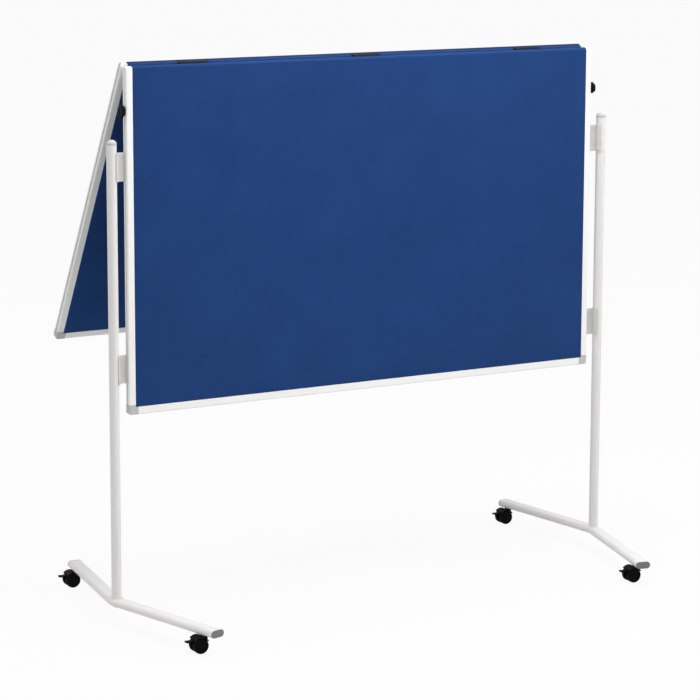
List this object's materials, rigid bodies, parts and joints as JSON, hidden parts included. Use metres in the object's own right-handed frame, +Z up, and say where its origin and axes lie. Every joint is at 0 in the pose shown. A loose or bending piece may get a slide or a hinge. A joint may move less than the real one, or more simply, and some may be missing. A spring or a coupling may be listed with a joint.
{
  "type": "mobile pinboard",
  "caption": "Folding mobile pinboard: hinged felt-covered halves in slim rails, hung between round posts on V-shaped tube feet with braked twin-wheel casters.",
  "frame": {"origin": "on the floor, in the middle of the whole object's box with the rear half hanging open as in the picture", "axes": "+Z up, +X along the board's width towards the right post, +Y towards the rear half"},
  "size_m": [1.3008, 0.7332, 1.2235],
  "materials": {
    "blue_felt": "matte",
    "fibre_core": "matte",
    "rail_lacquer": "satin",
    "navy_edging": "satin",
    "grey_moulding": "satin",
    "dark_grey_moulding": "matte",
    "white_tube": "satin",
    "bracket_alloy": "satin",
    "black_moulding": "matte",
    "zinc_steel": "satin",
    "dark_steel": "satin",
    "black_tyre": "matte"
  },
  "bodies": {
    "stand": {"caster_stems": "zinc_steel", "foot_bolts": "zinc_steel", "foot_end_caps": "dark_grey_moulding", "front_back_felt": "blue_felt", "front_core": "fibre_core", "front_corner_caps": "grey_moulding", "front_edge_strip": "navy_edging", "front_end_rail": "rail_lacquer", "front_face_felt": "blue_felt", "front_left_rail": "rail_lacquer", "front_right_rail": "rail_lacquer", "hinge_front_leaves": "dark_steel", "hinge_front_screws": "dark_steel", "hinge_pins": "dark_steel", "left_brackets": "bracket_alloy", "left_foot": "white_tube", "left_post": "white_tube", "post_caps": "grey_moulding", "post_screws": "zinc_steel", "post_spigots": "bracket_alloy", "right_brackets": "bracket_alloy", "right_foot": "white_tube", "right_post": "white_tube"},
    "rear_half": {"hinge_rear_leaves": "dark_steel", "hinge_rear_screws": "dark_steel", "rear_back_felt": "blue_felt", "rear_core": "fibre_core", "rear_corner_caps": "grey_moulding", "rear_edge_strip": "navy_edging", "rear_end_rail": "rail_lacquer", "rear_face_felt": "blue_felt", "rear_left_rail": "rail_lacquer", "rear_right_rail": "rail_lacquer"},
    "left_lock": {"left_lock_bar": "zinc_steel"},
    "left_knob": {"left_lock_knob": "black_moulding"},
    "right_lock": {"right_lock_bar": "zinc_steel"},
    "right_knob": {"right_lock_knob": "black_moulding"},
    "left_front_caster": {"left_front_caster_hood": "black_moulding", "left_front_caster_axle": "zinc_steel"},
    "left_front_wheel_1": {"left_front_caster_wheel_1": "black_tyre"},
    "left_front_wheel_2": {"left_front_caster_wheel_2": "black_tyre"},
    "left_front_lever": {"left_front_caster_lever": "black_moulding"},
    "left_back_caster": {"left_back_caster_hood": "black_moulding", "left_back_caster_axle": "zinc_steel"},
    "left_back_wheel_1": {"left_back_caster_wheel_1": "black_tyre"},
    "left_back_wheel_2": {"left_back_caster_wheel_2": "black_tyre"},
    "left_back_lever": {"left_back_caster_lever": "black_moulding"},
    "right_front_caster": {"right_front_caster_hood": "black_moulding", "right_front_caster_axle": "zinc_steel"},
    "right_front_wheel_1": {"right_front_caster_wheel_1": "black_tyre"},
    "right_front_wheel_2": {"right_front_caster_wheel_2": "black_tyre"},
    "right_front_lever": {"right_front_caster_lever": "black_moulding"},
    "right_back_caster": {"right_back_caster_hood": "black_moulding", "right_back_caster_axle": "zinc_steel"},
    "right_back_wheel_1": {"right_back_caster_wheel_1": "black_tyre"},
    "right_back_wheel_2": {"right_back_caster_wheel_2": "black_tyre"},
    "right_back_lever": {"right_back_caster_lever": "black_moulding"}
  },
  "joints": [
    {"name": "fold", "type": "hinge", "parent": "stand", "child": "rear_half", "pos_m": [0, -0.02634, 1.218], "axis": [1, 0, 0], "range_deg": [-29.9, 150.1]},
    {"name": "left_lock_slide", "type": "slide", "parent": "stand", "child": "left_lock", "axis": [0, 0, 1], "range_m": [0, 0.058]},
    {"name": "left_knob_turn", "type": "hinge", "parent": "left_lock", "child": "left_knob", "pos_m": [-0.6, -0.03634, 1.121], "axis": [-1, 0, 0], "range_deg": [0, 360]},
    {"name": "right_lock_slide", "type": "slide", "parent": "stand", "child": "right_lock", "axis": [0, 0, 1], "range_m": [0, 0.058]},
    {"name": "right_knob_turn", "type": "hinge", "parent": "right_lock", "child": "right_knob", "pos_m": [0.6, -0.03634, 1.121], "axis": [1, 0, 0], "range_deg": [0, 360]},
    {"name": "left_front_swivel", "type": "hinge", "parent": "stand", "child": "left_front_caster", "pos_m": [-0.55918, -0.32142, 0.03], "axis": [0, 0, 1], "continuous": true},
    {"name": "left_front_wheel_1_spin", "type": "hinge", "parent": "left_front_caster", "child": "left_front_wheel_1", "pos_m": [-0.57318, -0.32142, 0.017], "axis": [0, -1, 0], "continuous": true},
    {"name": "left_front_wheel_2_spin", "type": "hinge", "parent": "left_front_caster", "child": "left_front_wheel_2", "pos_m": [-0.57318, -0.32142, 0.017], "axis": [0, -1, 0], "continuous": true},
    {"name": "left_front_brake", "type": "hinge", "parent": "left_front_caster", "child": "left_front_lever", "pos_m": [-0.58568, -0.32142, 0.027], "axis": [0, -1, 0], "range_deg": [0, 15]},
    {"name": "left_back_swivel", "type": "hinge", "parent": "stand", "child": "left_back_caster", "pos_m": [-0.5908, 0.27061, 0.03], "axis": [0, 0, 1], "continuous": true},
    {"name": "left_back_wheel_1_spin", "type": "hinge", "parent": "left_back_caster", "child": "left_back_wheel_1", "pos_m": [-0.60479, 0.27109, 0.017], "axis": [-0.0349, -0.9994, 0], "continuous": true},
    {"name": "left_back_wheel_2_spin", "type": "hinge", "parent": "left_back_caster", "child": "left_back_wheel_2", "pos_m": [-0.60479, 0.27109, 0.017], "axis": [-0.0349, -0.9994, 0], "continuous": true},
    {"name": "left_back_brake", "type": "hinge", "parent": "left_back_caster", "child": "left_back_lever", "pos_m": [-0.61728, 0.27153, 0.027], "axis": [-0.0349, -0.9994, 0], "range_deg": [0, 15]},
    {"name": "right_front_swivel", "type": "hinge", "parent": "stand", "child": "right_front_caster", "pos_m": [0.55918, -0.32142, 0.03], "axis": [0, 0, 1], "continuous": true},
    {"name": "right_front_wheel_1_spin", "type": "hinge", "parent": "right_front_caster", "child": "right_front_wheel_1", "pos_m": [0.54522, -0.32045, 0.017], "axis": [-0.0698, -0.9976, 0], "continuous": true},
    {"name": "right_front_wheel_2_spin", "type": "hinge", "parent": "right_front_caster", "child": "right_front_wheel_2", "pos_m": [0.54522, -0.32045, 0.017], "axis": [-0.0698, -0.9976, 0], "continuous": true},
    {"name": "right_front_brake", "type": "hinge", "parent": "right_front_caster", "child": "right_front_lever", "pos_m": [0.53275, -0.31957, 0.027], "axis": [-0.0698, -0.9976, 0], "range_deg": [0, 15]},
    {"name": "right_back_swivel", "type": "hinge", "parent": "stand", "child": "right_back_caster", "pos_m": [0.5908, 0.27061, 0.03], "axis": [0, 0, 1], "continuous": true},
    {"name": "right_back_wheel_1_spin", "type": "hinge", "parent": "right_back_caster", "child": "right_back_wheel_1", "pos_m": [0.5768, 0.27061, 0.017], "axis": [0, -1, 0], "continuous": true},
    {"name": "right_back_wheel_2_spin", "type": "hinge", "parent": "right_back_caster", "child": "right_back_wheel_2", "pos_m": [0.5768, 0.27061, 0.017], "axis": [0, -1, 0], "continuous": true},
    {"name": "right_back_brake", "type": "hinge", "parent": "right_back_caster", "child": "right_back_lever", "pos_m": [0.5643, 0.27061, 0.027], "axis": [0, -1, 0], "range_deg": [0, 15]}
  ]
}
